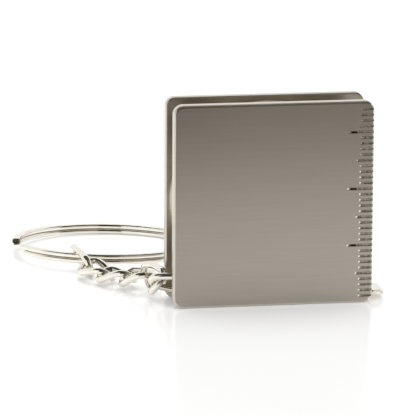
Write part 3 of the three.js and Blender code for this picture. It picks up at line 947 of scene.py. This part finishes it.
def headed_rivet(name, depth):
    """A rivet with its head up, at a depth along Y."""
    stations = [(BLADE_BOTTOM, RIVET_RADIUS), (HOOK_TOP, RIVET_RADIUS),
                (HOOK_TOP, RIVET_HEAD_RADIUS)]
    stations += [(HOOK_TOP + RIVET_HEAD_HEIGHT * (1 - inset), RIVET_HEAD_RADIUS * (1 - deep))
                 for deep, inset in edge_steps(RIVET_DOME_STEPS)[1:-1]]
    stations.append((HOOK_TOP + RIVET_HEAD_HEIGHT, RIVET_TIP_RADIUS))
    rows = [[(x, y, height) for x, y in circle(RIVET_X, depth, radius, RIVET_SIDES)]
            for height, radius in stations]
    return shade(loft(name, rows, TURNED_STEEL), weighted=False)


for name, side in (("front_rivet", -1), ("back_rivet", 1)):
    rivet = headed_rivet(name + "_headed", MIDDLE_DEPTH + side * RIVET_SPACING / 2)
    finish_piece(rivet, "tape", name)

# %% [markdown]
# ## The curb chain
#
# A curb link is an oval of wire whose ends are twisted against each other, so that the
# links lie flat and close. Each link follows from four angles in degrees.

# %% Chain sizes
WIRE = 1.25
LINK_LENGTH = 8.55
LINK_WIDTH = 5.7
LINK_PLAY = 0.6
POST_PLAY = 0.35
BEND_SHIFT = 0.3
FIRST_BEND_OUTSET = 1.83
RING_LINK_LENGTH = 10.3
RING_LINK_WIDTH = 5.1
RING_HOLD = 3.0
LINK_TURNS = [dict(zip(("heading", "climb", "roll", "twist"), angles)) for angles in (
    (16, 3.4, -42.5, 6),
    (80, -1.3, 81, 28),
    (61, -12.6, 13, 26),
    (53.6, -5, -3, 33),
    (62.5, 5, 0, 35),
    (83, 3.5, -66, 4))]
BEARING_REACH = (WIRE + LINK_PLAY) / 2
POST_REACH = POST_RADIUS + POST_PLAY + WIRE / 2
print("links:", len(LINK_TURNS))

# %% [markdown]
# The chain is laid out from the post outward. Each link starts where its wire bears on
# the one before. Where the chain bends, that point shifts a little, since the wires
# roll round each other.

# %% Lay out the chain
def link_direction(turns):
    """The way a link points, away from the plates."""
    heading, climb = math.radians(turns["heading"]), math.radians(turns["climb"])
    return Vector((-math.cos(heading) * math.cos(climb), math.sin(heading) * math.cos(climb),
                   math.sin(climb)))


def link_axes(turns):
    """The link's own axes: along it towards the plates, across it, and through it."""
    near = -link_direction(turns)
    across = Vector((0, 0, 1)).cross(near).normalized()
    through = near.cross(across)
    roll = math.radians(turns["roll"])
    return (near, across * math.cos(roll) + through * math.sin(roll),
            through * math.cos(roll) - across * math.sin(roll))


def first_link_length():
    """The first link reaches from the post to a bend just outside the plates."""
    run = (POST_SIDE_INSET + FIRST_BEND_OUTSET) / -link_direction(LINK_TURNS[0]).x
    return run + POST_REACH + BEARING_REACH + WIRE


def chain_layout():
    """Where each link starts, its middle, its direction, its length and its width."""
    between = len(LINK_TURNS) - 2
    lengths = [first_link_length()] + [LINK_LENGTH] * between + [RING_LINK_LENGTH]
    widths = [LINK_WIDTH] * (between + 1) + [RING_LINK_WIDTH]
    post_x, post_z, _ = PINS["chain_post"]
    bearing = Vector((post_x, MIDDLE_DEPTH, post_z))
    links = []
    for turns, length, width in zip(LINK_TURNS, lengths, widths):
        direction = link_direction(turns)
        reach = BEARING_REACH if links else POST_REACH
        if links:
            bearing += (direction - links[-1]["direction"]) * BEND_SHIFT
        middle = bearing + direction * ((length - WIRE) / 2 - reach)
        links.append({"start": bearing.copy(), "middle": middle, "direction": direction,
                      "length": length, "width": width})
        bearing = bearing + direction * (length - WIRE - reach - BEARING_REACH)
    return links


chain = chain_layout()
print("first link is", round(chain[0]["length"], 2), "mm long")

# %% [markdown]
# The wire's middle line is a formula: the angle leads round the two ends, and where its
# cosine is under a half also along the straight sides. The twist turns the points about
# the link's length. The round section is set by the direction away from the link's
# middle, so that it meets itself without a turn.

# %% Bend the links
LINK_STEPS = 96
WIRE_SIDES = 20


def wire_middle(link, twist, share):
    """A point of the wire's middle line in the link's own axes."""
    half_length, half_width = (link["length"] - WIRE) / 2, (link["width"] - WIRE) / 2
    angle = 2 * math.pi * share
    straight = half_length - half_width
    cosine = math.cos(angle)
    along = straight * math.copysign(min(1.0, 2 * abs(cosine)), cosine) + half_width * cosine
    across = half_width * math.sin(angle)
    turn = -math.radians(twist) * along / half_length
    return Vector((along, across * math.cos(turn), across * math.sin(turn)))


def closed_wire_rows(points):
    """Circles of the wire's section along a closed row of points."""
    rows = []
    section = circle(0, 0, WIRE / 2, WIRE_SIDES)
    middle = sum(points, Vector()) / len(points)
    for i, point in enumerate(points):
        tangent = (points[(i + 1) % len(points)] - points[i - 1]).normalized()
        outward = point - middle
        outward = (outward - tangent * outward.dot(tangent)).normalized()
        side = tangent.cross(outward)
        rows.append([tuple(point + outward * out + side * along) for out, along in section])
    return rows


for number, (link, turns) in enumerate(zip(chain, LINK_TURNS), start=1):
    axes = link_axes(turns)
    points = []
    for step in range(LINK_STEPS):
        own = wire_middle(link, turns["twist"], step / LINK_STEPS)
        points.append(link["middle"] + sum((axes[k] * own[k] for k in range(3)), Vector()))
    bent = loft(f"chain_link_{number}_bent", closed_wire_rows(points), BRIGHT_WIRE, closed=True)
    finish_piece(shade(bent, weighted=False), f"link_{number}",
                 f"chain_link_{number}")

# %% [markdown]
# ## The split ring
#
# A split ring is a flattened wire wound nearly twice round. The first turn lies low,
# then the wire climbs over its own end and the second turn lies on it. The two cut ends
# show as steps on the left. The ring leans: its far side lies on the table and the ring
# link lifts its near side.

# %% Ring sizes and place
RING_OUTER = 34.8
RING_WIRE_WIDTH = 1.5
RING_WIRE_HEIGHT = 0.9
RING_WIRE_CORNER = 0.42 * RING_WIRE_HEIGHT
RING_CORNER_STEPS = 5
RING_TURN_GAP = 0.04
RING_BEARING = math.radians(244.5)
RING_STEP_ANGLE = math.radians(200)
RING_RAMP = math.radians(24)
RING_STACK = 2 * RING_WIRE_HEIGHT + RING_TURN_GAP
RING_RADIUS = (RING_OUTER - RING_WIRE_WIDTH) / 2


def ring_place():
    """The ring's centre, and the rotation by which it leans."""
    last = chain[-1]
    reach = RING_LINK_LENGTH - WIRE - BEARING_REACH - RING_HOLD
    hold = last["start"] + last["direction"] * reach
    tilt = math.asin((hold.z - TABLE - RING_STACK / 2) / (2 * RING_RADIUS))
    low_side = (RING_STACK * math.cos(tilt) + RING_WIRE_WIDTH * math.sin(tilt)) / 2
    outward = Vector((math.cos(RING_BEARING), math.sin(RING_BEARING), 0))
    centre = hold - outward * RING_RADIUS
    centre.z = TABLE + low_side + RING_RADIUS * math.sin(tilt)
    return centre, Matrix.Rotation(tilt, 3, Vector((outward.y, -outward.x, 0)))


print("ring centre:", [round(value, 2) for value in ring_place()[0]])

# %% Wind the split ring
RING_STEPS = 360


def wind_ring():
    """The flattened wire, carried along its two turns."""
    centre, lean = ring_place()
    section = rounded_rectangle(RING_WIRE_WIDTH / 2 - RING_WIRE_CORNER,
                                RING_WIRE_HEIGHT / 2 - RING_WIRE_CORNER,
                                RING_WIRE_CORNER, RING_CORNER_STEPS)
    sweep = 4 * math.pi - RING_RAMP
    climb_start = 2 * math.pi - RING_RAMP
    rows = []
    for step in range(RING_STEPS + 1):
        angle = sweep * step / RING_STEPS
        climbed = min(1.0, max(0.0, (angle - climb_start) / RING_RAMP))
        climbed = climbed * climbed * (3 - 2 * climbed)
        height = (climbed - 0.5) * (RING_WIRE_HEIGHT + RING_TURN_GAP)
        across, along = math.cos(angle + RING_STEP_ANGLE), math.sin(angle + RING_STEP_ANGLE)
        row = []
        for out, up in section:
            radius = RING_RADIUS + out
            own = Vector((radius * across, radius * along, height + up))
            row.append(tuple(centre + lean @ own))
        rows.append(row)
    return shade(loft("split_ring_wound", rows, BRIGHT_WIRE))


finish_piece(wind_ring(), "ring", "split_ring")

# %% [markdown]
# ## The table
#
# The keychain stands on a glossy white table in soft light. The table is one large
# plane just under the plates' bottom edges. A little glow, which only rays that look at
# the table see, brings it to white and leaves the object's light and shadow alone.

# %% Set the table
TABLE_HALF = 4000.0
TABLE_DROP = 0.02
TABLE_GLOW = 0.2
WHITE = (1.0, 1.0, 1.0, 1.0)


def seen_rays(tree):
    """1 for rays that look at a thing, straight or in a reflection, and 0 for its light."""
    paths = add_node(tree, "ShaderNodeLightPath")
    direct = add_node(tree, "ShaderNodeMath", {"operation": "MAXIMUM"},
                      {0: paths.outputs["Is Camera Ray"], 1: paths.outputs["Is Glossy Ray"]})
    return add_node(tree, "ShaderNodeMath", {"operation": "MAXIMUM"},
                    {0: direct.outputs[0], 1: paths.outputs["Is Transmission Ray"]}).outputs[0]


def glossy_table():
    """White lacquer with a faint sheen."""
    sheen = {"size": (60.0, 60.0, 60.0), "detail": 1.0, "colours": ("#f4f4f4", "#f6f6f6")}
    material = make_material("glossy_white_table", [sheen],
                             {"Roughness": 0.16, "Specular IOR Level": 0.28,
                              "Emission Color": WHITE})
    tree = material.node_tree
    glow = add_node(tree, "ShaderNodeMath", {"operation": "MULTIPLY"},
                    {0: seen_rays(tree), 1: TABLE_GLOW})
    tree.links.new(glow.outputs[0], tree.nodes["Principled BSDF"].inputs["Emission Strength"])
    return material


def stage_plane(name, corners, material):
    """A flat piece of the stage, which isn't part of the object."""
    plane = new_piece(name, corners, [(0, 1, 2, 3)], material)
    return plane


def level_corners(left, right, near, far, height):
    """Corners of a level plane."""
    return [(left, near, height), (right, near, height), (right, far, height), (left, far, height)]


stage_plane("table", level_corners(-TABLE_HALF, TABLE_HALF, -TABLE_HALF, TABLE_HALF,
                                   TABLE - TABLE_DROP), glossy_table())
print("stage: table at", round(TABLE - TABLE_DROP, 2), "mm")

# %% [markdown]
# ## Dark cards
#
# Dark cards stand where the room would be, in front and above: only reflections see
# them, and only from the keychain's side, so that the table before them stays white.
# The right one darkens the plate's face towards its top. The left one and the ceiling
# draw the dark streaks along the wires.

# %% Stand the dark cards
CEILING = {"left": -500, "right": 400, "near": -300, "far": 150, "height": 260}
CARD_Y = -110
CARD_TOP = 130
CARD_LEFT, CARD_SPLIT, CARD_RIGHT = -110, 5, 250


def card_felt(name, colours):
    """Felt that is seen from its back face only and is clear from its front face."""
    nap = {"size": (20.0, 20.0, 20.0), "detail": 1.0, "colours": colours}
    material = make_material(name, [nap], {"Roughness": 0.9})
    tree = material.node_tree
    facing = add_node(tree, "ShaderNodeNewGeometry")
    clear = add_node(tree, "ShaderNodeBsdfTransparent")
    felt = tree.nodes["Principled BSDF"].outputs[0]
    one_sided = add_node(tree, "ShaderNodeMixShader", None,
                         {0: facing.outputs["Backfacing"], 1: clear.outputs[0], 2: felt})
    tree.links.new(one_sided.outputs[0], tree.nodes["Material Output"].inputs["Surface"])
    return material


def upright_corners(left, right):
    """Corners of a card that stands on the table in front."""
    return [(left, CARD_Y, TABLE), (right, CARD_Y, TABLE),
            (right, CARD_Y, CARD_TOP), (left, CARD_Y, CARD_TOP)]


CARDS = {
    "ceiling_card": (card_felt("dark_felt", ("#2c261c", "#332d23")), level_corners(**CEILING)),
    "left_front_card": (card_felt("brown_felt", ("#332c20", "#3a3327")),
                        upright_corners(CARD_LEFT, CARD_SPLIT)),
    "right_front_card": (card_felt("grey_felt", ("#807e75", "#86837a")),
                         upright_corners(CARD_SPLIT, CARD_RIGHT)),
}
for name, (felt, corners) in CARDS.items():
    card = stage_plane(name, corners, felt)
    for ray in ("camera", "diffuse", "shadow", "transmission", "volume_scatter"):
        setattr(card, "visible_" + ray, False)
print("stage:", len(CARDS), "dark cards")

# %% [markdown]
# ## World and lamp
#
# The world is an even pale light, which looks white where a ray sees it. A large soft
# lamp above gives the table its white and the edges of the plates their bright line.

# %% Light the scene
WORLD_LIGHT = 0.65
LAMP_PLACE = Vector((0.0, 60.0, 700.0))
LAMP_SIZE = 700.0
LAMP_POWER = 3.0

world = bpy.data.worlds.new("pale_world")
bpy.context.scene.world = world
world.use_nodes = True
sky = world.node_tree
sky.nodes.clear()
strength = add_node(sky, "ShaderNodeMapRange", None,
                    {"Value": seen_rays(sky), "To Min": WORLD_LIGHT, "To Max": 1.0})
light = add_node(sky, "ShaderNodeBackground", None,
                 {"Color": WHITE, "Strength": strength.outputs["Result"]})
add_node(sky, "ShaderNodeOutputWorld", None, {"Surface": light.outputs[0]})

lamp_data = bpy.data.lights.new("top_softbox", "AREA")
lamp_data.size = LAMP_SIZE * MM
lamp_data.energy = LAMP_POWER
lamp = add_object("top_softbox", lamp_data)
lamp.location = LAMP_PLACE * MM
lamp.rotation_euler = (-LAMP_PLACE).to_track_quat("-Z", "Y").to_euler()
bpy.context.scene.view_settings.view_transform = "Standard"
print("world and lamp are set")

# %% [markdown]
# ## Finish

# %% Finish
print("scene set")
